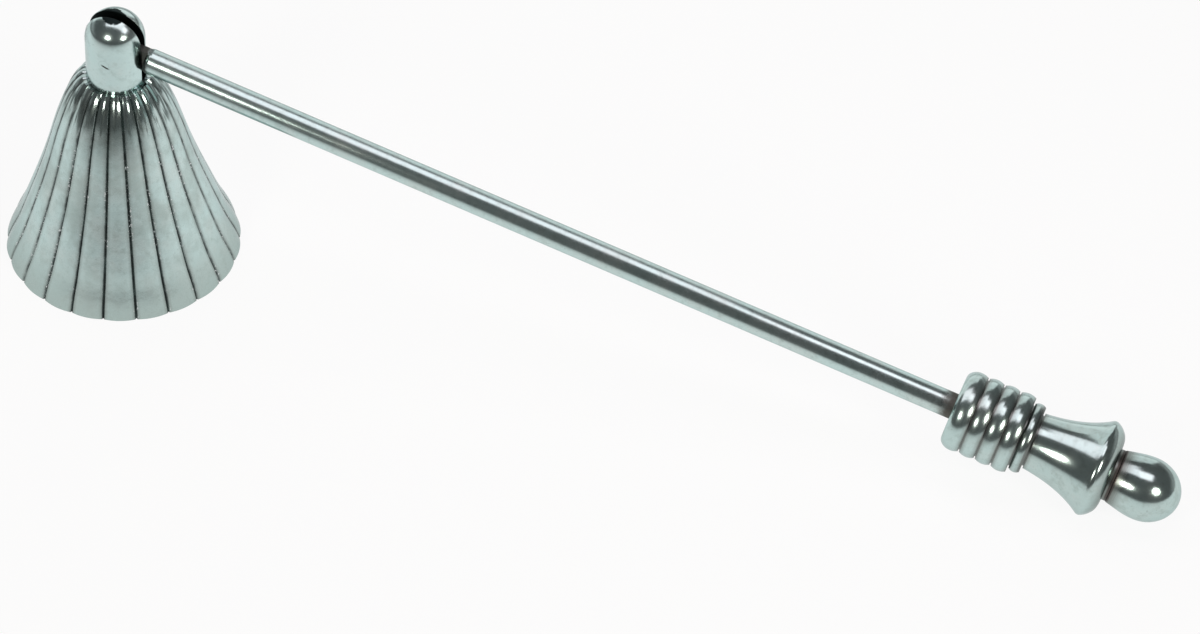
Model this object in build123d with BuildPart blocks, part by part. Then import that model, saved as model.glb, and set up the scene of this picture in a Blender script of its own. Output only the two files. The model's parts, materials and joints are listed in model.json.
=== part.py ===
from build123d import *
import os
from math import asin, atan2, cos, degrees, hypot, radians, sin, sqrt

os.makedirs("parts", exist_ok=True)

# A hinged candle snuffer: a fluted bell, a slotted knuckle, and a long rod that ends in a turned grip.
# Millimetres, +Z up. The origin is the centre of the bell's mouth, which stands on the table.
# The rod runs towards +X in the XZ plane and slopes down until the grip's lip lies on the table.

# Sizes of the bell
rim_radius = 21.95
crown_height = 42.2
crown_ledge = 0.75
crown_thickness = 2.0
bell_wall = 1.5
flute_count = 22
first_groove_angle = 4.3
groove_width = 0.5
groove_depth = 0.3
panel_corner_share = 0.99

# Height up the bell as a share of the crown height, and how far the wall stands out there,
# as a share of the way from the crown's edge to the rim.
bell_profile_shares = [
    (0.0, 1.0),
    (0.13, 0.862),
    (0.25, 0.742),
    (0.415, 0.59),
    (0.59, 0.447),
    (0.735, 0.342),
    (0.83, 0.259),
    (0.89, 0.198),
    (0.93, 0.147),
    (0.96, 0.098),
    (0.984, 0.046),
    (1.0, 0.0),
]

# Sizes of the knuckle and its pin
knuckle_radius = 5.55
knuckle_height = 9.2
pivot_drop = 2.3
slot_width = 1.75
slot_web = 0.9
cheek_edge_round = 0.15
pin_radius = 1.0
pin_running_clearance = 0.05

# Sizes of the stud, washer and nut that hold the bell on the knuckle
stud_radius = 2.0
stud_hole_clearance = 0.1
thread_clearance = 0.05
stud_end_chamfer = 0.3
washer_radius = 4.6
washer_thickness = 0.8
nut_across_flats = 7.0
nut_thickness = 3.2
stud_spare_length = 1.0

# Sizes of the rod
rod_radius = 2.4
rod_end_round = 1.0
stop_clearance = 0.1
tongue_side_clearance = 0.1
rod_reach = 165.85
rod_seat_depth = 9.0
rod_fit_clearance = 0.03
tail_radius = 1.6

# Sizes of the ribbed collar
front_bead_width = 3.75
front_round_length = 2.3
front_round_height = 1.75
bead_width = 3.1
bead_count = 3
bead_radius = 7.55
bead_rise = 0.38
end_bead_width = 2.3
end_bead_radius = 6.65
seam_width = 0.24
seam_depth = 0.4

# Sizes of the trumpet-shaped grip
grip_neck_radius = 4.9
grip_neck_length = 0.3
grip_start_radius = 5.35
flare_length = 12.3
flare_start_slope = 0.1
flare_end_slope = 0.66
lip_radius = 9.12
lip_round = 1.1
lip_back_tilt = 22.0
lip_shoulder_length = 1.6
lip_shoulder_drop = 0.85
grip_back_length = 2.8
grip_back_radius = 5.4
seat_neck_length = 0.8

# Sizes of the finial
finial_start_radius = 5.05
finial_start_round = 0.3
finial_radius = 5.95
finial_side_length = 5.8
finial_side_slope = 0.22
finial_end_length = 6.6
finial_thread_depth = 6.0


def polar_point(radius, angle):
    """A point in a horizontal sketch at a radius and an angle in degrees from +X."""
    return (radius * cos(radians(angle)), radius * sin(radians(angle)))


def fluted_outline(crest_radius):
    """Draws one level of the bell: shallow convex panels with a V groove between each pair."""
    corner_radius = crest_radius * panel_corner_share
    pitch = 360 / flute_count
    groove_half_angle = degrees(groove_width / 2 / corner_radius)
    for flute in range(flute_count):
        groove = first_groove_angle + flute * pitch
        bottom = polar_point(corner_radius - groove_depth, groove)
        start = polar_point(corner_radius, groove + groove_half_angle)
        crest = polar_point(crest_radius, groove + pitch / 2)
        end = polar_point(corner_radius, groove + pitch - groove_half_angle)
        next_bottom = polar_point(corner_radius - groove_depth, groove + pitch)
        Line(bottom, start)
        ThreePointArc(start, crest, end)
        Line(end, next_bottom)


# Places that follow from the sizes
crown_radius = knuckle_radius + crown_ledge
bell_stations = [
    (share * crown_height, crown_radius + reach * (rim_radius - crown_radius))
    for share, reach in bell_profile_shares
]
dome_centre_height = crown_height + knuckle_height
pivot_height = dome_centre_height - pivot_drop
washer_seat_height = crown_height - crown_thickness
nut_seat_height = washer_seat_height - washer_thickness
stud_length = crown_thickness + washer_thickness + nut_thickness + stud_spare_length

collar_length = front_bead_width + bead_count * bead_width + end_bead_width
grip_start = rod_reach + collar_length
flare_start = grip_start + grip_neck_length
lip_centre_along = flare_start + flare_length
lip_centre_radius = lip_radius - lip_round
grip_end = lip_centre_along + grip_back_length + seat_neck_length
rod_seat = rod_reach + rod_seat_depth
tail_end = grip_end + finial_thread_depth
tail_bore = tail_radius + rod_fit_clearance

# The rod slopes down until the round of the grip's lip touches the table.
rod_slope = asin((pivot_height - lip_round) / hypot(lip_centre_along, lip_centre_radius)) - atan2(
    lip_centre_radius, lip_centre_along
)
rod_direction = Vector(cos(rod_slope), 0, -sin(rod_slope))
rod_plane = Plane(origin=(0, 0, pivot_height), x_dir=rod_direction, z_dir=(0, -1, 0))
rod_axis = Axis((0, 0, pivot_height), rod_direction)

# The rod's shoulder stands clear of the knuckle by the stop clearance when the snuffer rests.
shoulder_round_height = rod_radius - rod_end_round
shoulder_reach = (
    knuckle_radius + stop_clearance + rod_end_round + shoulder_round_height * sin(rod_slope)
) / cos(rod_slope) - rod_end_round

# The bell: a loft through fluted outlines, hollowed by a turned cavity and bored for the stud
with BuildPart() as bell:
    for height, radius in bell_stations:
        with BuildSketch(Plane.XY.offset(height)):
            with BuildLine():
                fluted_outline(radius)
            make_face()
    loft()
    with BuildSketch(Plane.XZ):
        with BuildLine():
            cavity = [(r - bell_wall, z) for z, r in bell_stations if z < washer_seat_height]
            ceiling_radius = cavity[-1][0] - (washer_seat_height - cavity[-1][1])
            wall = Spline(*cavity)
            ceiling_edge = (ceiling_radius, washer_seat_height)
            Polyline(wall @ 1, ceiling_edge, (0, washer_seat_height), (0, 0), wall @ 0)
        make_face()
    revolve(axis=Axis.Z, mode=Mode.SUBTRACT)
    with Locations((0, 0, crown_height)):
        Hole(stud_radius + stud_hole_clearance)
bell.part.label = "bell"
export_step(bell.part, "parts/bell.step")

# The knuckle: a turned post with a domed top, a slot for the tongue and a stud below
with BuildPart() as knuckle:
    with BuildSketch(Plane.XZ):
        with BuildLine():
            dome_top = (0, dome_centre_height + knuckle_radius)
            dome_side = (knuckle_radius, dome_centre_height)
            RadiusArc(dome_top, dome_side, knuckle_radius)
            Polyline(
                dome_side,
                (knuckle_radius, crown_height),
                (stud_radius, crown_height),
                (stud_radius, crown_height - stud_length + stud_end_chamfer),
                (stud_radius - stud_end_chamfer, crown_height - stud_length),
                (0, crown_height - stud_length),
                dome_top,
            )
        make_face()
    revolve(axis=Axis.Z)
    slot_floor = crown_height + slot_web
    with BuildSketch(Plane.XZ):
        with Locations((0, slot_floor)):
            Rectangle(
                2 * knuckle_radius,
                knuckle_height + knuckle_radius,
                align=(Align.CENTER, Align.MIN),
            )
    extrude(amount=slot_width / 2, both=True, mode=Mode.SUBTRACT)
    slot_edges = knuckle.edges().filter_by(
        lambda edge: abs(abs(edge.center().Y) - slot_width / 2) < cheek_edge_round
        and edge.center().Z > dome_centre_height
    )
    fillet(slot_edges, cheek_edge_round)
    with BuildSketch(Plane.XZ):
        with Locations((0, pivot_height)):
            Circle(pin_radius)
    extrude(amount=knuckle_radius, both=True, mode=Mode.SUBTRACT)
knuckle.part.label = "knuckle"
export_step(knuckle.part, "parts/knuckle.step")

# The hinge pin: driven through both cheeks and dressed flush with the knuckle
with BuildPart() as hinge_pin:
    with BuildSketch(Plane.XZ):
        with Locations((0, pivot_height)):
            Circle(pin_radius)
    extrude(amount=knuckle_radius, both=True)
    with BuildSketch(Plane.XY.offset(pivot_height - pin_radius)):
        Circle(knuckle_radius)
    extrude(amount=2 * pin_radius, mode=Mode.INTERSECT)
hinge_pin.part.label = "hinge_pin"
export_step(hinge_pin.part, "parts/hinge_pin.step")

# The washer inside the bell, against the underside of the crown
with BuildPart() as bell_washer:
    with BuildSketch(Plane.XY.offset(nut_seat_height)):
        Circle(washer_radius)
        Circle(stud_radius + stud_hole_clearance, mode=Mode.SUBTRACT)
    extrude(amount=washer_thickness)
bell_washer.part.label = "bell_washer"
export_step(bell_washer.part, "parts/bell_washer.step")

# The hexagonal nut on the stud
with BuildPart() as bell_nut:
    with BuildSketch(Plane.XY.offset(nut_seat_height - nut_thickness)):
        RegularPolygon(nut_across_flats / 2, 6, major_radius=False)
        Circle(stud_radius + thread_clearance, mode=Mode.SUBTRACT)
    extrude(amount=nut_thickness)
bell_nut.part.label = "bell_nut"
export_step(bell_nut.part, "parts/bell_nut.step")

# The rod: a round bar with a flat tongue round the pin at one end and a thinner tail at the other
with BuildPart() as rod:
    with BuildSketch(rod_plane):
        with BuildLine():
            shoulder_foot = (shoulder_reach, 0)
            shoulder_edge = (shoulder_reach, shoulder_round_height)
            shoulder_crest = (shoulder_reach + rod_end_round, rod_radius)
            Line(shoulder_foot, shoulder_edge)
            RadiusArc(shoulder_edge, shoulder_crest, rod_end_round)
            Polyline(
                shoulder_crest,
                (rod_seat, rod_radius),
                (rod_seat, tail_radius),
                (tail_end, tail_radius),
                (tail_end, 0),
                shoulder_foot,
            )
        make_face()
    revolve(axis=rod_axis)
    tongue_thickness = slot_width - 2 * tongue_side_clearance
    with BuildSketch(rod_plane):
        Circle(rod_radius)
        with Locations(((shoulder_reach + rod_end_round) / 2, 0)):
            Rectangle(shoulder_reach + rod_end_round, 2 * rod_radius)
    extrude(amount=tongue_thickness / 2, both=True)
    with BuildSketch(rod_plane):
        Circle(pin_radius + pin_running_clearance)
    extrude(amount=tongue_thickness, both=True, mode=Mode.SUBTRACT)
rod.part.label = "rod"
export_step(rod.part, "parts/rod.step")

# The collar: a wide front bead, three even beads and a small end bead, parted by narrow seams
with BuildPart() as collar:
    with BuildSketch(rod_plane):
        with BuildLine():
            bore = rod_radius + rod_fit_clearance
            bead_starts = [
                rod_reach + front_bead_width + bead * bead_width for bead in range(bead_count + 1)
            ]
            front_crest = (rod_reach + front_round_length, bead_radius)
            front_foot = (rod_reach, bead_radius - front_round_height)
            previous_end = (bead_starts[0], bead_radius - bead_rise)
            Line((rod_reach, bore), front_foot)
            EllipticalCenterArc(
                (front_crest[0], front_foot[1]),
                front_round_length,
                front_round_height,
                start_angle=90,
                arc_size=90,
            )
            TangentArc(front_crest, previous_end, tangent=(1, 0))
            beads = [(start + seam_width, start + bead_width, bead_radius) for start in bead_starts[:-1]]
            beads += [(bead_starts[-1] + seam_width, grip_start, end_bead_radius)]
            for start, end, radius in beads:
                edge_radius = radius - bead_rise
                seam_radius = min(previous_end[1], edge_radius) - seam_depth
                seam_start = (previous_end[0], seam_radius)
                seam_end = (start, seam_radius)
                Polyline(previous_end, seam_start, seam_end, (start, edge_radius))
                ThreePointArc((start, edge_radius), ((start + end) / 2, radius), (end, edge_radius))
                previous_end = (end, edge_radius)
            Polyline(
                previous_end,
                (grip_start, tail_bore),
                (rod_seat, tail_bore),
                (rod_seat, bore),
                (rod_reach, bore),
            )
        make_face()
    revolve(axis=rod_axis)
collar.part.label = "collar"
export_step(collar.part, "parts/collar.step")

# The grip: a turned trumpet with a rounded lip, a domed back and a short neck for the finial
with BuildPart() as grip:
    with BuildSketch(rod_plane):
        with BuildLine():
            flare_foot = (flare_start, grip_start_radius)
            lip_tilt = atan2(flare_end_slope, 1)
            flare_top = (
                lip_centre_along - lip_round * sin(lip_tilt),
                lip_centre_radius + lip_round * cos(lip_tilt),
            )
            Polyline(
                (grip_start, tail_bore),
                (grip_start, grip_neck_radius),
                (flare_start, grip_neck_radius),
                flare_foot,
            )
            Spline(flare_foot, flare_top, tangents=[(1, flare_start_slope), (1, flare_end_slope)])
            lip_crest = (lip_centre_along, lip_radius)
            back_tilt = radians(lip_back_tilt)
            lip_back = (
                lip_centre_along + lip_round * sin(back_tilt),
                lip_centre_radius + lip_round * cos(back_tilt),
            )
            lip_shoulder = (lip_centre_along + lip_shoulder_length, lip_radius - lip_shoulder_drop)
            back_foot = (lip_centre_along + grip_back_length, grip_back_radius)
            ThreePointArc(flare_top, lip_crest, lip_back)
            Spline(
                lip_back,
                lip_shoulder,
                back_foot,
                tangents=[(cos(back_tilt), -sin(back_tilt)), (0, -1)],
            )
            Polyline(
                back_foot,
                (back_foot[0], grip_neck_radius),
                (grip_end, grip_neck_radius),
                (grip_end, tail_bore),
                (grip_start, tail_bore),
            )
        make_face()
    revolve(axis=rod_axis)
grip.part.label = "grip"
export_step(grip.part, "parts/grip.step")

# The finial: a domed cap nut that screws on the rod's tail and clamps the grip and the collar
with BuildPart() as finial:
    with BuildSketch(rod_plane):
        with BuildLine():
            side_start = (grip_end + finial_start_round, finial_start_radius)
            side_end = (grip_end + finial_side_length, finial_radius)
            tip = (grip_end + finial_side_length + finial_end_length, 0)
            thread_bore = tail_radius + thread_clearance
            thread_end = tail_end + thread_clearance
            RadiusArc((grip_end, finial_start_radius - finial_start_round), side_start, finial_start_round)
            Spline(side_start, side_end, tangents=[(1, finial_side_slope), (1, 0)])
            EllipticalCenterArc(
                (side_end[0], 0),
                finial_end_length,
                finial_radius,
                start_angle=0,
                arc_size=90,
            )
            Polyline(
                tip,
                (thread_end, 0),
                (thread_end, thread_bore),
                (grip_end, thread_bore),
                (grip_end, finial_start_radius - finial_start_round),
            )
        make_face()
    revolve(axis=rod_axis)
finial.part.label = "finial"
export_step(finial.part, "parts/finial.step")
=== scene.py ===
import json
from math import cos, pi, radians, sin

import bpy
from mathutils import Matrix, Vector

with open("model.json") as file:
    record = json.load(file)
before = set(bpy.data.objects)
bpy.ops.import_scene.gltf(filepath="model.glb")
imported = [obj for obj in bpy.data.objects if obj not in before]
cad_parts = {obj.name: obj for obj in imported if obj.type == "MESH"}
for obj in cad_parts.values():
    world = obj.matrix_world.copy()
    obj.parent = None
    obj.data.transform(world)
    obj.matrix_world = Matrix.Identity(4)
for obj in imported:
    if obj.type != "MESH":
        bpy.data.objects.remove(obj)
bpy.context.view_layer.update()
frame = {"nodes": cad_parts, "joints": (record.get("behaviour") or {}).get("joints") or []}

# Sizes of the part that the looks follow. Lengths are in metres throughout
MM = 0.001
FLUTE_COUNT = 22
FLUTE_ANGLE = 2 * pi / FLUTE_COUNT
FIRST_GROOVE = radians(4.3)
CROWN_HEIGHT = 42.2 * MM
KNUCKLE_RADIUS = 5.55 * MM
SLOT_WIDTH = 1.75 * MM
PIN_RADIUS = 1.0 * MM
PIVOT = Vector(frame["joints"][0]["pos_m"])
ROD_SLOPE = radians(11.95)
ROD_DIRECTION = Vector((cos(ROD_SLOPE), 0, -sin(ROD_SLOPE)))
ROD_UP = Vector((sin(ROD_SLOPE), 0, cos(ROD_SLOPE)))

# Distances along the rod from the hinge. The seams are the gaps between the collar's beads
ROD_REACH = 165.85 * MM
FIRST_SEAM = 169.6 * MM
SEAM_STEP = 3.1 * MM
SEAM_COUNT = 4
SEAM_WIDTH = 0.24 * MM
GRIP_START = 181.2 * MM
GRIP_END = 197.4 * MM

scene = bpy.context.scene
scene.view_settings.view_transform = "Standard"

# Camera, at the photograph's angle
CAMERA_AZIMUTH = radians(18.3258)
CAMERA_ELEVATION = radians(45.5017)
CAMERA_ROLL = radians(1.8536)
CAMERA_PLACE = Vector((346.652, -761.19, 829.145)) * MM
CAMERA_CLIP = 10 * MM
FOCAL_PIXELS = 6259.9
IMAGE_WIDTH = 1200
SENSOR_WIDTH = 36


def make_camera():
    look = Vector((
        -sin(CAMERA_AZIMUTH) * cos(CAMERA_ELEVATION),
        cos(CAMERA_AZIMUTH) * cos(CAMERA_ELEVATION),
        -sin(CAMERA_ELEVATION),
    ))
    level = Vector((cos(CAMERA_AZIMUTH), sin(CAMERA_AZIMUTH), 0))
    upright = level.cross(look)
    right = cos(CAMERA_ROLL) * level + sin(CAMERA_ROLL) * upright
    up = -sin(CAMERA_ROLL) * level + cos(CAMERA_ROLL) * upright
    data = bpy.data.cameras.new("camera")
    data.sensor_width = SENSOR_WIDTH
    data.lens = FOCAL_PIXELS * SENSOR_WIDTH / IMAGE_WIDTH
    data.clip_start = CAMERA_CLIP
    camera = bpy.data.objects.new("camera", data)
    scene.collection.objects.link(camera)
    turn = Matrix((right, up, -look)).transposed()
    camera.matrix_world = Matrix.Translation(CAMERA_PLACE) @ turn.to_4x4()
    scene.camera = camera


# Node helpers
NOISE_SHIFT_SHARES = (1.0, 0.7, 1.3)


class Tree:
    """The nodes of a material or a world. Most methods take sockets or numbers, and give a socket."""

    def __init__(self, owner, coordinates="Object"):
        owner.use_nodes = True
        self.nodes = owner.node_tree.nodes
        self.links = owner.node_tree.links
        self.nodes.clear()
        self.place = self.add("ShaderNodeTexCoord").outputs[coordinates]
        parts = self.add("ShaderNodeSeparateXYZ")
        self.links.new(self.place, parts.inputs[0])
        self.x, self.y, self.z = parts.outputs

    def add(self, kind, **settings):
        node = self.nodes.new(kind)
        for key, value in settings.items():
            setattr(node, key, value)
        return node

    def feed(self, socket, value):
        """Links the value where it is a socket, sets it where it is a number or a colour."""
        if isinstance(value, bpy.types.NodeSocket):
            self.links.new(value, socket)
        elif value is not None:
            socket.default_value = value

    def feed_all(self, node, **values):
        """Feeds sockets by their names, in small letters with _ for a space."""
        for name, value in values.items():
            self.feed(node.inputs[name.replace("_", " ").title()], value)

    def math(self, operation, *values):
        node = self.add("ShaderNodeMath", operation=operation)
        for socket, value in zip(node.inputs, values):
            self.feed(socket, value)
        return node.outputs[0]

    def chain(self, operation, first, *others):
        """The operation on the first two values, then on what that gives and the third, and so on."""
        for value in others:
            first = self.math(operation, first, value)
        return first

    def plus(self, *values):
        return self.chain("ADD", *values)

    def times(self, *values):
        return self.chain("MULTIPLY", *values)

    def largest(self, *values):
        return self.chain("MAXIMUM", *values)

    def minus(self, value, less):
        return self.math("SUBTRACT", value, less)

    def gap(self, first, second):
        """How far apart two values are."""
        return self.math("ABSOLUTE", self.minus(first, second))

    def vector(self, operation, *values):
        node = self.add("ShaderNodeVectorMath", operation=operation)
        for socket, value in zip(node.inputs, values):
            self.feed(socket, value)
        return node.outputs["Value" if operation in ("DOT_PRODUCT", "LENGTH") else "Vector"]

    def join(self, x, y, z):
        node = self.add("ShaderNodeCombineXYZ")
        for socket, value in zip(node.inputs, (x, y, z)):
            self.feed(socket, value)
        return node.outputs[0]

    def length(self, x, y, z):
        return self.vector("LENGTH", self.join(x, y, z))

    def ramp(self, value, low, high, start=0.0, end=1.0):
        """A smooth step from start, at low, to end, at high."""
        node = self.add("ShaderNodeMapRange", interpolation_type="SMOOTHSTEP")
        self.feed_all(node, value=value, from_min=low, from_max=high, to_min=start, to_max=end)
        return node.outputs[0]

    def noise(self, size, detail, roughness, shift=0.0, place=None):
        """Noise between 0 and 1 whose features are about size across; shift gives each use its own."""
        scaled = self.vector("MULTIPLY", place or self.place, (1 / size,) * 3)
        moved = self.vector("ADD", scaled, tuple(shift * share for share in NOISE_SHIFT_SHARES))
        node = self.add("ShaderNodeTexNoise")
        self.feed_all(node, vector=moved, scale=1.0, detail=detail, roughness=roughness)
        return node.outputs[0]

    def wander(self, width, noise):
        """An uneven offset, at most half of width either way."""
        return self.times(self.minus(self.noise(**noise), 0.5), width)

    def mix(self, factor, first, second):
        node = self.add("ShaderNodeMix", data_type="RGBA")
        self.feed(node.inputs["Factor"], factor)
        for name, value in (("A", first), ("B", second)):
            socket = [item for item in node.inputs if item.name == name and item.type == "RGBA"][0]
            self.feed(socket, value)
        return [item for item in node.outputs if item.type == "RGBA"][0]

    def bump(self, height, distance, below=None):
        node = self.add("ShaderNodeBump")
        self.feed_all(node, height=height, distance=distance, strength=1.0, normal=below)
        return node.outputs[0]

    def end_at(self, kind, shader):
        """Adds the output node and links the shader to its surface."""
        self.feed(self.add(kind).inputs["Surface"], shader.outputs[0])


# Colours of the silver, and of what lies on it
SILVER = (0.50, 0.635, 0.62, 1)
SILVER_WARM = (0.53, 0.62, 0.60, 1)
EDGE_TINT = (0.72, 0.76, 0.76, 1)
BRIGHT_SPECK = (0.8, 0.84, 0.84, 1)
# Tarnish on the pin, and painted shade at the knuckle's foot and on the rod near the hinge
TARNISH_AND_SHADE = (0.045, 0.045, 0.04, 1)
# Brown stains, and also painted shade beside the handle's lines
STAIN_AND_SHADE = (0.10, 0.085, 0.07, 1)
# Painted shade in the slot, and painted dark reflection on the cheeks beside it
SLOT_SHADE_AND_REFLECTION = (0.014, 0.021, 0.021, 1)
GROOVE_TONE = (0.075, 0.09, 0.09, 1)
# Painted dark reflection in the streaks below the crown
CROWN_DARK_REFLECTION = (0.06, 0.075, 0.07, 1)
DULL = (0.34, 0.415, 0.39, 1)
BROWN = (0.085, 0.07, 0.065, 1)

# All silver: warm clouds, dull mottling, brown specks, slight waves and a fine grain.
# A fade is the pair of noise values, or of distances, that a smooth step runs between.
CLOUD_NOISE = dict(size=6 * MM, detail=4.0, roughness=0.6)
CLOUD_COLOR_FADE = (0.35, 0.75)
CLOUD_ROUGH_FADE = (0.3, 0.8)
MOTTLE_NOISE = dict(size=1.7 * MM, detail=4.0, roughness=0.65, shift=19.0)
MOTTLE_FADE = (0.46, 0.72)
MOTTLE_STRENGTH = 0.4
SPECK_NOISE = dict(size=0.5 * MM, detail=3.0, roughness=0.7, shift=5.0)
SPECK_FADE = (0.6, 0.76)
SPECK_STRENGTH = 0.3
MARK_ROUGHNESS = 0.5
WAVE_NOISE = dict(size=4 * MM, detail=2.0, roughness=0.5, shift=11.0)
WAVE_DEPTH = 0.02 * MM
GRAIN_NOISE = dict(detail=3.0, roughness=0.6, shift=3.0)
GRAIN_SIZE = 0.25 * MM
GRAIN_DEPTH = 0.004 * MM
DRAWN_SHARE = 0.88


def silver(
    name,
    roughness,
    rough_spread=0.05,
    grain_size=GRAIN_SIZE,
    grain_depth=GRAIN_DEPTH,
    wave_depth=WAVE_DEPTH,
    dulling=0.0,
    patina_and_painted_light=None,
    form=None,
    polish=None,
    drawn=None,
):
    """A silver material. patina_and_painted_light(tree) gives masks with their tones, which are patina
    or painted shade and reflection, form(tree) a bump under the waves, polish(tree) a factor for the
    roughness, and drawn(tree) the direction round a drawn bar."""
    material = bpy.data.materials.new(name)
    tree = Tree(material)
    masks = patina_and_painted_light(tree) if patina_and_painted_light else []
    cloud = tree.noise(**CLOUD_NOISE)
    mottle = tree.ramp(tree.noise(**MOTTLE_NOISE), *MOTTLE_FADE, dulling, dulling + MOTTLE_STRENGTH)
    speck = tree.ramp(tree.noise(**SPECK_NOISE), *SPECK_FADE, 0.0, SPECK_STRENGTH)
    color = tree.mix(tree.ramp(cloud, *CLOUD_COLOR_FADE), SILVER, SILVER_WARM)
    for mask, tone in [(mottle, DULL), (speck, STAIN_AND_SHADE)] + masks:
        color = tree.mix(mask, color, tone)
    rough = tree.plus(roughness, tree.times(tree.ramp(cloud, *CLOUD_ROUGH_FADE), rough_spread))
    if polish:
        rough = tree.times(rough, polish(tree))
    for mask, tone in masks:
        if tone is not DULL:
            rough = tree.largest(rough, tree.times(mask, MARK_ROUGHNESS))
    shape = form(tree) if form else None
    wave = tree.bump(tree.noise(**WAVE_NOISE), wave_depth, shape)
    grain = tree.bump(tree.noise(grain_size, **GRAIN_NOISE), grain_depth, wave)
    shader = tree.add("ShaderNodeBsdfPrincipled")
    tree.feed_all(shader, base_color=color, roughness=rough, normal=grain)
    tree.feed_all(shader, metallic=1.0, specular_tint=EDGE_TINT)
    if drawn:
        tree.feed_all(shader, anisotropic=DRAWN_SHARE, tangent=drawn(tree))
    tree.end_at("ShaderNodeOutputMaterial", shader)
    return material


# Bell: tarnish in the grooves, with bright dots low on the wall. Depths are measured from the crown
GROOVE_NOISE = dict(size=1.2 * MM, detail=3.0, roughness=0.6, shift=7.0)
GROOVE_WANDER = 0.3 * MM
GROOVE_CORE_FADE = (0.1 * MM, 0.46 * MM)
GROOVE_CORE_STRENGTH = 0.9
GROOVE_HALO_FADE = (0.3 * MM, 1.0 * MM)
GROOVE_HALO_STRENGTH = 0.28
GROOVE_TOP_DEPTHS = (9 * MM, 1 * MM)
GROOVE_TOP_STRENGTH = 0.35
GROOVE_PATCH_NOISE = dict(size=3 * MM, detail=3.0, roughness=0.6, shift=29.0)
GROOVE_PATCH_FADE = (0.35, 0.6)
GROOVE_PATCH_LEAST = 0.55
DOT_NOISE = dict(size=0.42 * MM, detail=2.0, roughness=0.5, shift=17.0)
DOT_FADE = (0.6, 0.66)
DOT_GROOVE_FADE = (0.35 * MM, 0.6 * MM)
DOT_STRENGTH = 0.9
DOT_PATCH_NOISE = dict(size=7 * MM, detail=2.0, roughness=0.5, shift=23.0)
DOT_PATCH_FADE = (0.42, 0.55)
DOT_TOP_DEPTHS = (13 * MM, 9 * MM)

# A painted contact shadow round the knuckle's foot, and painted dark reflection in streaks that run
# down from the crown
FOOT_RING_FADE = (0.02 * MM, 0.14 * MM)
FOOT_RING_DEPTHS = (0.4 * MM, 0.1 * MM)
FOOT_RING_STRENGTH = 0.5
STREAK_RADIUS = 12 * MM
STREAK_RISE_SHARE = 0.16
STREAK_NOISE = dict(size=0.9 * MM, detail=2.0, roughness=0.6, shift=31.0)
STREAK_FADE = (0.45, 0.58)
STREAK_END_NOISE = dict(size=1.6 * MM, detail=1.0, roughness=0.5, shift=37.0)
STREAK_END_LIFT = 6 * MM
STREAK_END_DEPTHS = (5.5 * MM, 1.5 * MM)
STREAK_TOP_DEPTHS = (2.4 * MM, 1.2 * MM)
STREAK_STRENGTH = 0.75
STREAK_TOP_STRENGTH = 0.1

# Dull patches all over the wall, and a duller band above the rim
DULL_NOISE = dict(size=9 * MM, detail=3.0, roughness=0.6, shift=41.0)
DULL_FADE = (0.44, 0.66)
DULL_STRENGTH = 0.55
RIM_DULL_HEIGHT = 13 * MM
RIM_DULL_STRENGTH = 0.75

# What the bell's bump adds to its solid: a steeper wall above the rim, and rounder flutes at the crown
STEEP_HEIGHT = 9 * MM
STEEP_DEPTH = 0.5 * MM
ROUND_DEPTH = 0.11 * MM
ROUND_SHARE = -0.5
ROUND_DEPTHS = (5 * MM, 2 * MM)
POLISH_DEPTHS = (6 * MM, 3 * MM)
POLISH_SHARE = 0.6
BELL_GRAIN_SIZE = 0.3 * MM
BELL_GRAIN_DEPTH = 0.008 * MM


def crown_step(tree, height, depths, start=0.0, end=1.0):
    """A smooth step from start, at the first of two depths below the crown, to end, at the second."""
    return tree.ramp(height, CROWN_HEIGHT - depths[0], CROWN_HEIGHT - depths[1], start, end)


def flute_turn(tree):
    """How many flutes a point is past the first groove."""
    angle = tree.math("ARCTAN2", tree.y, tree.x)
    return tree.math("DIVIDE", tree.minus(angle, FIRST_GROOVE), FLUTE_ANGLE)


def groove_distance(tree, reach):
    """The distance round the bell to the nearest groove, at reach from its axis."""
    above_zero = tree.plus(flute_turn(tree), FLUTE_COUNT)
    part = tree.math("FRACT", above_zero)
    near = tree.math("MINIMUM", part, tree.minus(1.0, part))
    return tree.times(near, FLUTE_ANGLE, reach)


def groove_marks(tree, across):
    """Masks of the dark core of the grooves and of the stain beside them."""
    ragged = tree.plus(across, tree.wander(GROOVE_WANDER, GROOVE_NOISE))
    top = crown_step(tree, tree.z, GROOVE_TOP_DEPTHS, 1.0, GROOVE_TOP_STRENGTH)
    uneven = tree.ramp(tree.noise(**GROOVE_PATCH_NOISE), *GROOVE_PATCH_FADE, GROOVE_PATCH_LEAST, 1.0)
    core = tree.times(tree.ramp(ragged, *GROOVE_CORE_FADE, GROOVE_CORE_STRENGTH, 0.0), top, uneven)
    halo = tree.times(tree.ramp(ragged, *GROOVE_HALO_FADE, GROOVE_HALO_STRENGTH, 0.0), top)
    return core, halo


def streak_reflection(tree):
    """Painted dark reflection in streaks that are long down the wall and narrow round it, with uneven
    ends.
    """
    outward = tree.vector("NORMALIZE", tree.join(tree.x, tree.y, 0.0))
    ring = tree.vector("MULTIPLY", outward, (STREAK_RADIUS, STREAK_RADIUS, 0.0))
    place = tree.vector("ADD", ring, tree.join(0.0, 0.0, tree.times(tree.z, STREAK_RISE_SHARE)))
    streaks = tree.ramp(tree.noise(**STREAK_NOISE, place=place), *STREAK_FADE)
    lift = tree.times(tree.noise(**STREAK_END_NOISE, place=place), STREAK_END_LIFT)
    low_end = crown_step(tree, tree.plus(tree.z, lift), STREAK_END_DEPTHS)
    high_end = crown_step(tree, tree.z, STREAK_TOP_DEPTHS, STREAK_STRENGTH, STREAK_TOP_STRENGTH)
    return tree.times(streaks, low_end, high_end)


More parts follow.
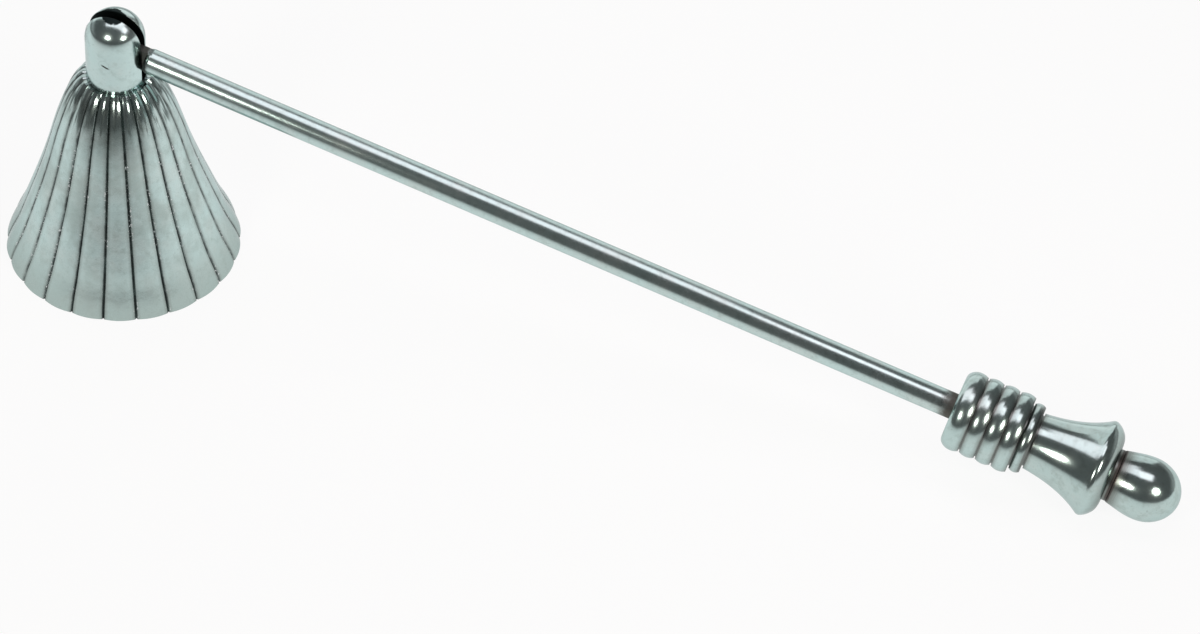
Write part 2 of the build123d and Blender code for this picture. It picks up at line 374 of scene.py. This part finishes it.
def dot_mark(tree, across):
    """Bright dots in the grooves, where the tarnish is rubbed off."""
    dots = tree.ramp(tree.noise(**DOT_NOISE), *DOT_FADE)
    in_groove = tree.ramp(across, *DOT_GROOVE_FADE, DOT_STRENGTH, 0.0)
    patches = tree.ramp(tree.noise(**DOT_PATCH_NOISE), *DOT_PATCH_FADE)
    low = crown_step(tree, tree.z, DOT_TOP_DEPTHS, 1.0, 0.0)
    return tree.times(dots, in_groove, patches, low)


def bell_patina_and_painted_light(tree):
    reach = tree.length(tree.x, tree.y, 0.0)
    across = groove_distance(tree, reach)
    core, halo = groove_marks(tree, across)
    from_foot = tree.minus(reach, KNUCKLE_RADIUS)
    # Painted contact shadow round the knuckle's foot
    foot_ring = tree.ramp(from_foot, *FOOT_RING_FADE, FOOT_RING_STRENGTH, 0.0)
    foot_ring = tree.times(foot_ring, crown_step(tree, tree.z, FOOT_RING_DEPTHS))
    patches = tree.ramp(tree.noise(**DULL_NOISE), *DULL_FADE, 0.0, DULL_STRENGTH)
    dull = tree.largest(patches, tree.ramp(tree.z, 0.0, RIM_DULL_HEIGHT, RIM_DULL_STRENGTH, 0.0))
    return [
        (dull, DULL),
        (halo, STAIN_AND_SHADE),
        (streak_reflection(tree), CROWN_DARK_REFLECTION),
        (core, GROOVE_TONE),
        (foot_ring, TARNISH_AND_SHADE),
        (dot_mark(tree, across), BRIGHT_SPECK),
    ]


def bell_form(tree):
    """The wall stands a little steeper close above the rim, and the flutes are rounder at the crown."""
    steep = tree.bump(tree.ramp(tree.z, 0.0, STEEP_HEIGHT), STEEP_DEPTH)
    flutes = tree.math("COSINE", tree.times(flute_turn(tree), 2 * pi))
    at_crown = crown_step(tree, tree.z, ROUND_DEPTHS, 0.0, ROUND_SHARE)
    return tree.bump(tree.times(flutes, at_crown), ROUND_DEPTH, steep)


def bell_polish(tree):
    """The crown is polished brighter than the satin wall."""
    return crown_step(tree, tree.z, POLISH_DEPTHS, 1.0, POLISH_SHARE)


# Knuckle: painted contact shadow at its foot and painted shade in the slot. Heights are measured up
# from the crown
FOOT_HEIGHTS = (0.02 * MM, 0.25 * MM)
FOOT_STRENGTH = 0.45
SLOT_SHADE_FADE = (0.02 * MM, 0.14 * MM)
SLOT_SHADE_HEIGHTS = (0.2 * MM, 0.6 * MM)

# A painted dark reflection lies on the top of each cheek beside the slot, in a patch with a ragged,
# arched edge.
# A patch has the sign of its side of the slot, its middle in x, its half length and its width.
DARK_REFLECTION_PATCHES = ((1, -0.6 * MM, 2.6 * MM, 1.0 * MM), (-1, 0.0, 2.1 * MM, 1.35 * MM))
DARK_REFLECTION_NOISE = dict(size=0.9 * MM, detail=4.0, roughness=0.6, shift=2.0)
DARK_REFLECTION_WANDER = 1.5 * MM
DARK_REFLECTION_FADE = (-0.1 * MM, 0.16 * MM)
DARK_REFLECTION_SIDE_FADE = (-0.02 * MM, 0.02 * MM)
DARK_REFLECTION_HEIGHTS_OVER_PIVOT = (4.2 * MM, 4.8 * MM)

# What the knuckle's bump adds to its solid: a fuller shoulder between two heights above the table
SHOULDER_HEIGHTS = (51.2 * MM, 54.9 * MM)
SHOULDER_DEPTH = 0.55 * MM

# Pin: a faint ring round its end, and a nick that slants across its lower edge
PIN_RING_FADE = (0.03 * MM, 0.1 * MM)
PIN_RING_STRENGTH = 0.12
NICK_SLOPE = 0.38
NICK_NOISE = dict(size=0.6 * MM, detail=2.0, roughness=0.5, shift=13.0)
NICK_WANDER = 0.4 * MM
NICK_DROP = 0.3 * MM
NICK_MIDDLE = 0.25 * MM
NICK_WIDTH_FADE = (0.08 * MM, 0.3 * MM)
NICK_LENGTH_FADE = (0.35 * MM, 1.0 * MM)


def dark_reflection_marks(tree, rough_edge):
    """Masks of the painted dark reflection beside the slot, one for each cheek."""
    on_top = tree.ramp(tree.minus(tree.z, PIVOT.z), *DARK_REFLECTION_HEIGHTS_OVER_PIVOT)
    marks = []
    for sign, middle, half_length, width in DARK_REFLECTION_PATCHES:
        along = tree.math("DIVIDE", tree.minus(tree.x, middle), half_length)
        edge = tree.times(tree.minus(1.0, tree.times(along, along)), width)
        out = tree.minus(tree.times(tree.y, sign), SLOT_WIDTH / 2)
        past_edge = tree.plus(tree.minus(out, edge), rough_edge)
        on_side = tree.ramp(out, *DARK_REFLECTION_SIDE_FADE)
        marks.append(tree.times(tree.ramp(past_edge, *DARK_REFLECTION_FADE, 1.0, 0.0), on_top, on_side))
    return marks


def pin_mark(tree):
    """A faint ring where the pin is dressed flush, and a short dark nick across its lower edge."""
    offset = tree.minus(tree.z, PIVOT.z)
    edge = tree.gap(tree.length(tree.x, 0.0, offset), PIN_RADIUS)
    ring = tree.ramp(edge, *PIN_RING_FADE, PIN_RING_STRENGTH, 0.0)
    slanted = tree.plus(offset, tree.times(tree.x, NICK_SLOPE), tree.wander(NICK_WANDER, NICK_NOISE))
    line = tree.ramp(tree.gap(slanted, -NICK_DROP), *NICK_WIDTH_FADE, 1.0, 0.0)
    nick = tree.times(line, tree.ramp(tree.gap(tree.x, NICK_MIDDLE), *NICK_LENGTH_FADE, 1.0, 0.0))
    return tree.largest(ring, nick)


def knuckle_patina_and_painted_light(tree):
    height = tree.minus(tree.z, CROWN_HEIGHT)
    from_slot = tree.minus(tree.math("ABSOLUTE", tree.y), SLOT_WIDTH / 2)
    slot = tree.ramp(from_slot, *SLOT_SHADE_FADE, 1.0, 0.0)
    slot = tree.times(slot, tree.ramp(height, *SLOT_SHADE_HEIGHTS))
    foot = tree.ramp(height, *FOOT_HEIGHTS, FOOT_STRENGTH, 0.0)
    # Painted shade in the slot, and painted contact shadow at the knuckle's foot
    masks = [(slot, SLOT_SHADE_AND_REFLECTION), (foot, TARNISH_AND_SHADE)]
    # Painted dark reflection on the top of each cheek
    masks += [(mark, SLOT_SHADE_AND_REFLECTION) for mark in dark_reflection_marks(tree, tree.wander(DARK_REFLECTION_WANDER, DARK_REFLECTION_NOISE))]
    return masks + [(pin_mark(tree), TARNISH_AND_SHADE)]


def knuckle_form(tree):
    """The dome's shoulder is fuller than a plain ball's."""
    return tree.bump(tree.ramp(tree.z, *SHOULDER_HEIGHTS), SHOULDER_DEPTH)


def pin_patina(tree):
    return [(pin_mark(tree), TARNISH_AND_SHADE)]


# Handle: brown lines between the beads and at both ends of the grip, and beside each a stain that is
# partly painted shade.
# The line at the finial is darker, as painted shade in the gap, its painted shade is wider, and it is
# fainter below the rod's axis.
JOINT_HALF_WIDTH = 0.3 * MM
LINE_FADE_WIDTH = 0.3 * MM
LINE_NOISE = dict(size=1.0 * MM, detail=3.0, roughness=0.6, shift=9.0)
LINE_WANDER = 0.12 * MM
LINE_STRENGTH = 0.6
STAIN_AND_SHADE_WIDTH = 1.0 * MM
STAIN_AND_SHADE_STRENGTH = 0.45
FINIAL_LINE_STRENGTH = 0.9
FINIAL_SHADE_WIDTH = 2.9 * MM
FINIAL_SHADE_STRENGTH = 0.7
FINIAL_SHADE_FADE = (-5 * MM, -1 * MM)
FINIAL_SHADE_LEAST = 0.35
HANDLE_WAVE_DEPTH = 0.004 * MM

# Rod: a ragged stain at the collar, and painted shade near the hinge whose edge slants
ROD_NOISE = dict(size=1.5 * MM, detail=3.0, roughness=0.6)
ROD_WANDER = 2.5 * MM
COLLAR_STAIN_FADE = (-2.2 * MM, 0.6 * MM)
COLLAR_STAIN_STRENGTH = 0.9
HINGE_SLANT = 0.22
HINGE_FADE = (7.8 * MM, 8.8 * MM)
HINGE_STRENGTH = 0.95
ROD_GRAIN_DEPTH = 0.002 * MM
ROD_WAVE_DEPTH = 0.003 * MM


def rod_place(tree):
    """A point's distance along the rod from the hinge, and its height above the rod's axis."""
    offset = tree.vector("SUBTRACT", tree.place, PIVOT)
    return tree.vector("DOT_PRODUCT", offset, ROD_DIRECTION), tree.vector("DOT_PRODUCT", offset, ROD_UP)


def handle_patina_and_shade(tree):
    along, above = rod_place(tree)
    wander = tree.wander(LINE_WANDER, LINE_NOISE)
    seams = [FIRST_SEAM + SEAM_STEP * index + SEAM_WIDTH / 2 for index in range(SEAM_COUNT)]
    lines = [(seam, SEAM_WIDTH / 2, LINE_STRENGTH, STAIN_AND_SHADE_WIDTH, STAIN_AND_SHADE_STRENGTH) for seam in seams]
    lines += [
        (GRIP_START, JOINT_HALF_WIDTH, LINE_STRENGTH, STAIN_AND_SHADE_WIDTH, STAIN_AND_SHADE_STRENGTH),
        (GRIP_END, JOINT_HALF_WIDTH, FINIAL_LINE_STRENGTH, FINIAL_SHADE_WIDTH, FINIAL_SHADE_STRENGTH),
    ]
    cores = []
    stains_and_shade = []
    for middle, half_width, strength, stain_and_shade_width, stain_and_shade_strength in lines:
        distance = tree.plus(tree.gap(along, middle), wander)
        cores.append(tree.ramp(distance, half_width, half_width + LINE_FADE_WIDTH, strength, 0.0))
        stains_and_shade.append(tree.ramp(distance, half_width, half_width + stain_and_shade_width, stain_and_shade_strength, 0.0))
    # The finial's line is painted shade, darker above the rod's axis than below
    cores[-1] = tree.times(cores[-1], tree.ramp(above, *FINIAL_SHADE_FADE, FINIAL_SHADE_LEAST, 1.0))
    return [(tree.largest(*stains_and_shade), STAIN_AND_SHADE), (tree.largest(*cores), BROWN)]


def rod_patina_and_shade(tree):
    along, above = rod_place(tree)
    ragged = tree.plus(along, tree.times(tree.noise(**ROD_NOISE), ROD_WANDER))
    collar = tree.ramp(tree.minus(ragged, ROD_REACH), *COLLAR_STAIN_FADE, 0.0, COLLAR_STAIN_STRENGTH)
    slanted = tree.plus(ragged, tree.times(above, HINGE_SLANT))
    # Painted shade on the rod near the hinge, reaching further along its underside
    hinge = tree.ramp(slanted, *HINGE_FADE, HINGE_STRENGTH, 0.0)
    return [(collar, STAIN_AND_SHADE), (hinge, TARNISH_AND_SHADE)]


def rod_around(tree):
    """The direction round the rod, which was drawn lengthwise and so mirrors more softly across."""
    offset = tree.vector("SUBTRACT", tree.place, PIVOT)
    return tree.vector("NORMALIZE", tree.vector("CROSS_PRODUCT", ROD_DIRECTION, offset))


def dress(material, *nodes):
    for node in nodes:
        data = frame["nodes"][node].data
        data.materials.clear()
        data.materials.append(material)


bell_silver = silver(
    "bell_silver",
    roughness=0.2,
    rough_spread=0.06,
    grain_size=BELL_GRAIN_SIZE,
    grain_depth=BELL_GRAIN_DEPTH,
    patina_and_painted_light=bell_patina_and_painted_light,
    form=bell_form,
    polish=bell_polish,
)
rod_silver = silver(
    "rod_silver",
    roughness=0.15,
    grain_depth=ROD_GRAIN_DEPTH,
    wave_depth=ROD_WAVE_DEPTH,
    patina_and_painted_light=rod_patina_and_shade,
    drawn=rod_around,
)
handle_look = dict(wave_depth=HANDLE_WAVE_DEPTH, patina_and_painted_light=handle_patina_and_shade)
dress(bell_silver, "bell")
dress(silver("knuckle_silver", roughness=0.17, patina_and_painted_light=knuckle_patina_and_painted_light, form=knuckle_form), "knuckle")
dress(silver("pin_silver", roughness=0.19, patina_and_painted_light=pin_patina), "hinge_pin")
dress(silver("plain_steel", roughness=0.3), "bell_washer", "bell_nut")
dress(rod_silver, "rod")
dress(silver("collar_silver", roughness=0.19, dulling=0.2, **handle_look), "collar")
dress(silver("handle_silver", roughness=0.15, dulling=0.32, **handle_look), "grip", "finial")

# Directions in the studio, as the camera sees them
TOWARDS_CAMERA = Vector((sin(CAMERA_AZIMUTH), -cos(CAMERA_AZIMUTH), 0))
TO_THE_RIGHT = Vector((cos(CAMERA_AZIMUTH), sin(CAMERA_AZIMUTH), 0))
UP = Vector((0, 0, 1))
ALONG = Vector((1, 0, 0))

# A softbox lies close above the object. Its end, above the grip, is narrower
SOFTBOX_MIDDLE = Vector((0.01, 0.044, 0.312))
SOFTBOX_SIZE = (0.32, 0.197)
SOFTBOX_RADIANCE = 1.55
SOFTBOX_END_SIZE = (0.14, 0.13)
SOFTBOX_END_SHIFT = -0.054
SOFTBOX_END_RADIANCE = 2.0
SOFTBOX_TURN = radians(2.5)
SOFTBOX_COLOR = (1.0, 0.9, 0.96)

# A pale card stands behind the object, nearer at the bell's end.
# Its place, and the lamps' places, are to the right of the bell, towards the camera, and up.
CARD_PLACE = (0.05, -0.8, 0.42)
CARD_SIZE = (1.4, 0.84)
CARD_TURN = radians(25)
CARD_RADIANCE = 0.85

# Two warm round lamps stand on the camera's side
LAMP_PLACES = {"lamp_left": (-0.362, 0.69, 0.54), "lamp_right": (0.55, 0.604, 0.45)}
LAMP_TARGET = Vector((0.1, 0, 0.03))
LAMP_WIDTH = 0.27
LAMP_RADIANCE = 13.0
LAMP_COLOR = (1.0, 0.95, 0.87)


def studio_place(right, towards, height):
    return TO_THE_RIGHT * right + TOWARDS_CAMERA * towards + UP * height


def make_light(name, place, target, size, radiance, color=(1, 1, 1), side=TO_THE_RIGHT, is_round=False):
    """An area light that faces the target; radiance is what a mirror would show of it."""
    data = bpy.data.lights.new(name, "AREA")
    data.shape = "DISK" if is_round else "RECTANGLE"
    data.size, data.size_y = size
    area = size[0] * size[1] * (pi / 4 if is_round else 1)
    data.energy = radiance * area * pi
    data.color = color
    light = bpy.data.objects.new(name, data)
    light.visible_camera = False
    scene.collection.objects.link(light)
    back = (place - target).normalized()
    side = (side - back * side.dot(back)).normalized()
    turn = Matrix((side, back.cross(side), back)).transposed()
    light.matrix_world = Matrix.Translation(place) @ turn.to_4x4()


def make_softbox():
    turn = Matrix.Rotation(SOFTBOX_TURN, 3, "Z")
    end_shift = Vector(((SOFTBOX_SIZE[0] + SOFTBOX_END_SIZE[0]) / 2, SOFTBOX_END_SHIFT, 0))
    for name, place, size, radiance in (
        ("softbox", SOFTBOX_MIDDLE, SOFTBOX_SIZE, SOFTBOX_RADIANCE),
        ("softbox_end", SOFTBOX_MIDDLE + turn @ end_shift, SOFTBOX_END_SIZE, SOFTBOX_END_RADIANCE),
    ):
        make_light(name, place, place - UP, size, radiance, SOFTBOX_COLOR, turn @ ALONG)


def make_card():
    place = studio_place(*CARD_PLACE)
    turn = Matrix.Rotation(CARD_TURN, 3, "Z")
    target = place + turn @ TOWARDS_CAMERA
    make_light("card", place, target, CARD_SIZE, CARD_RADIANCE, side=turn @ TO_THE_RIGHT)


def make_lamps():
    size = (LAMP_WIDTH, LAMP_WIDTH)
    for name, shifts in LAMP_PLACES.items():
        place = studio_place(*shifts)
        make_light(name, place, LAMP_TARGET, size, LAMP_RADIANCE, LAMP_COLOR, is_round=True)


# Floor: a pale sheet. The camera sees it white with a soft shadow, which is left out far away.
# In the metal it shows a painted glow, as bright as below the softbox, and dimmer outside the softbox's
# reach.
FLOOR_REACH = 6.0
FLOOR_COLOR = (0.9, 0.9, 0.9, 1)
FLOOR_GLOW_COLOR = (1, 1, 1, 1)
FLOOR_GLOW_SHARE = 0.9
SHADOW_FADE = (0.35, 0.7)
FLOOR_FAR_GLOW = 0.08
FLOOR_NEAR_GLOW = 1.1


def floor_glow(tree):
    """How bright the floor's painted glow is in the metal, from its slant below the nearest part of the
    softbox.
    """
    from_middle = tree.gap(tree.x, SOFTBOX_MIDDLE.x + SOFTBOX_END_SIZE[0] / 2)
    past_end = tree.largest(tree.minus(from_middle, (SOFTBOX_SIZE[0] + SOFTBOX_END_SIZE[0]) / 2), 0.0)
    aside = tree.minus(tree.y, SOFTBOX_MIDDLE.y)
    slant = tree.math("DIVIDE", tree.length(past_end, aside, 0.0), SOFTBOX_MIDDLE.z)
    spread = tree.plus(1.0, tree.times(slant, slant))
    reach = tree.math("DIVIDE", 1.0, tree.times(spread, spread))
    return tree.plus(FLOOR_FAR_GLOW, tree.times(reach, FLOOR_NEAR_GLOW - FLOOR_FAR_GLOW))


def floor_material():
    material = bpy.data.materials.new("floor")
    tree = Tree(material)
    paper = tree.add("ShaderNodeBsdfDiffuse")
    tree.feed_all(paper, color=FLOOR_COLOR)
    path = tree.add("ShaderNodeLightPath").outputs
    seen = tree.largest(path["Is Camera Ray"], path["Is Glossy Ray"], path["Is Transmission Ray"])
    dimmed = floor_glow(tree)
    missing = tree.times(path["Is Camera Ray"], tree.minus(1.0, dimmed))
    glow = tree.add("ShaderNodeEmission")
    tree.feed_all(glow, color=FLOOR_GLOW_COLOR, strength=tree.plus(dimmed, missing))
    away = tree.length(tree.minus(tree.x, SOFTBOX_MIDDLE.x), tree.y, 0.0)
    blend = tree.add("ShaderNodeMixShader")
    share = tree.times(seen, tree.ramp(away, *SHADOW_FADE, FLOOR_GLOW_SHARE, 1.0))
    for socket, value in zip(blend.inputs, (share, paper.outputs[0], glow.outputs[0])):
        tree.feed(socket, value)
    tree.end_at("ShaderNodeOutputMaterial", blend)
    return material


def make_floor():
    mesh = bpy.data.meshes.new("floor")
    corners = [(x * FLOOR_REACH, y * FLOOR_REACH, 0) for x, y in ((-1, -1), (1, -1), (1, 1), (-1, 1))]
    mesh.from_pydata(corners, [], [(0, 1, 2, 3)])
    mesh.materials.append(floor_material())
    floor = bpy.data.objects.new("floor", mesh)
    scene.collection.objects.link(floor)


# World: the camera sees white. In the metal the studio is dark, but paler low down at the sides and
# behind. A fade here is a pair of how far a direction points towards the camera, or upwards.
DARK_LEVEL = 0.12
PALE_LEVEL = 0.4
PALE_SIDE_FADE = (-0.4, 0.35)
PALE_HEIGHT_FADE = (0.1, 0.35)
SKY_COLOR = (1, 1, 1, 1)


def make_world():
    world = bpy.data.worlds.new("studio")
    tree = Tree(world, "Generated")
    towards = tree.vector("DOT_PRODUCT", tree.place, TOWARDS_CAMERA)
    beside = tree.ramp(towards, *PALE_SIDE_FADE, 1.0, 0.0)
    low = tree.ramp(tree.z, *PALE_HEIGHT_FADE, 1.0, 0.0)
    level = tree.plus(DARK_LEVEL, tree.times(beside, low, PALE_LEVEL - DARK_LEVEL))
    seen = tree.add("ShaderNodeLightPath").outputs["Is Camera Ray"]
    background = tree.add("ShaderNodeBackground")
    tree.feed_all(background, color=SKY_COLOR, strength=tree.largest(level, seen))
    tree.end_at("ShaderNodeOutputWorld", background)
    scene.world = world


make_camera()
make_floor()
make_softbox()
make_card()
make_lamps()
make_world()
